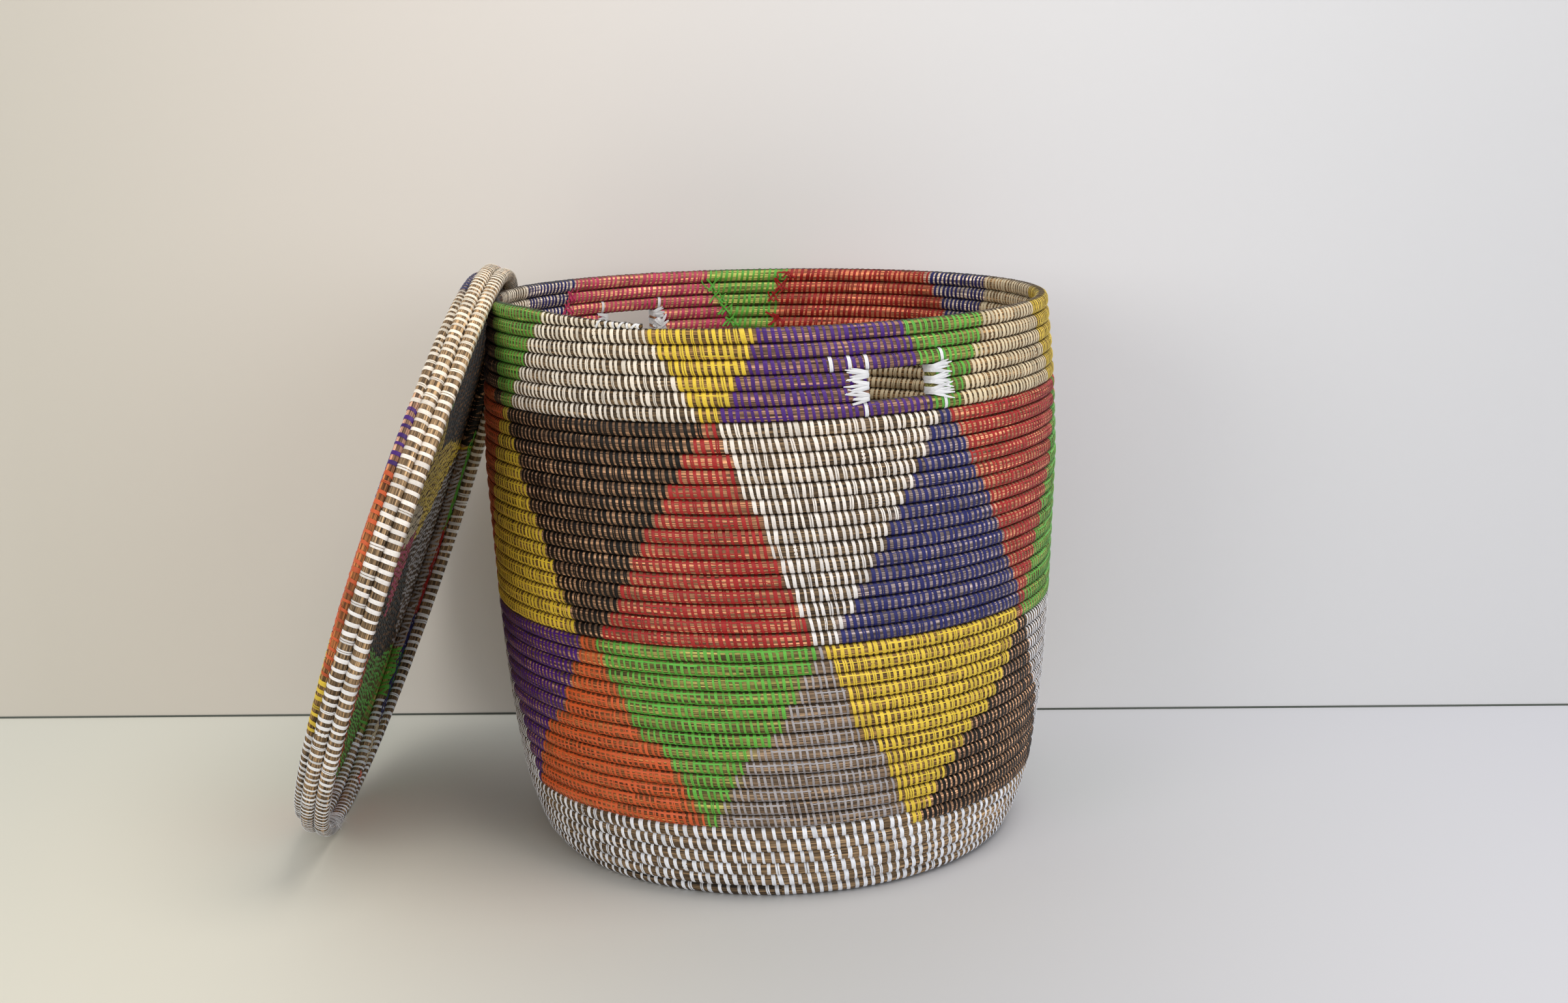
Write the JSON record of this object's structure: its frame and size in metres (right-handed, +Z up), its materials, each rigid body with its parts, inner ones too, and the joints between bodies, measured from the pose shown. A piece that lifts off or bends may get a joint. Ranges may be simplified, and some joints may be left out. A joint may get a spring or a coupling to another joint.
{
  "type": "lidded coiled basket",
  "caption": "Tall round basket of sewn grass coil with a bulging wall, hand holes near its rim and bands of coloured triangles, with its shallow cap lid leaning against it.",
  "frame": {"origin": "middle of the basket's underside, on the floor that it stands on", "axes": "+Z up along the basket's axis, -Y towards the viewer of the picture, +X away from the leaning lid"},
  "size_m": [0.6094, 0.4818, 0.4574],
  "materials": {
    "white_strip_coil": "white plastic strip sewn over brown grass, which shows between the stitches",
    "lower_band_strip_coil": "orange, green, grey, yellow and black plastic strip sewn over grass",
    "middle_band_strip_coil": "black, red, white and navy plastic strip sewn over grass",
    "top_band_strip_coil": "yellow, purple, green and cream plastic strip sewn over grass",
    "white_strip": "plain white plastic strip with a soft sheen",
    "lid_top_strip_coil": "coloured plastic strip sewn over grass"
  },
  "bodies": {
    "basket": {"base_coil": "white_strip_coil", "foot_courses": "white_strip_coil", "lower_band_courses": "lower_band_strip_coil", "middle_band_courses": "middle_band_strip_coil", "hand_hole_sill_course": "top_band_strip_coil", "hand_hole_courses_right": "top_band_strip_coil", "hand_hole_courses_left": "top_band_strip_coil", "rim_courses": "top_band_strip_coil", "hand_hole_lashing_front_first": "white_strip", "hand_hole_lashing_front_second": "white_strip", "hand_hole_lashing_back_first": "white_strip", "hand_hole_lashing_back_second": "white_strip"},
    "lid": {"lid_disc_coil": "lid_top_strip_coil", "lid_rim_courses": "white_strip_coil", "lid_end_tie": "white_strip"}
  },
  "joints": [
    {"name": "lid_lift", "type": "slide", "parent": "basket", "child": "lid", "axis": [0, 0, 1], "range_m": [0, 0.46]}
  ]
}
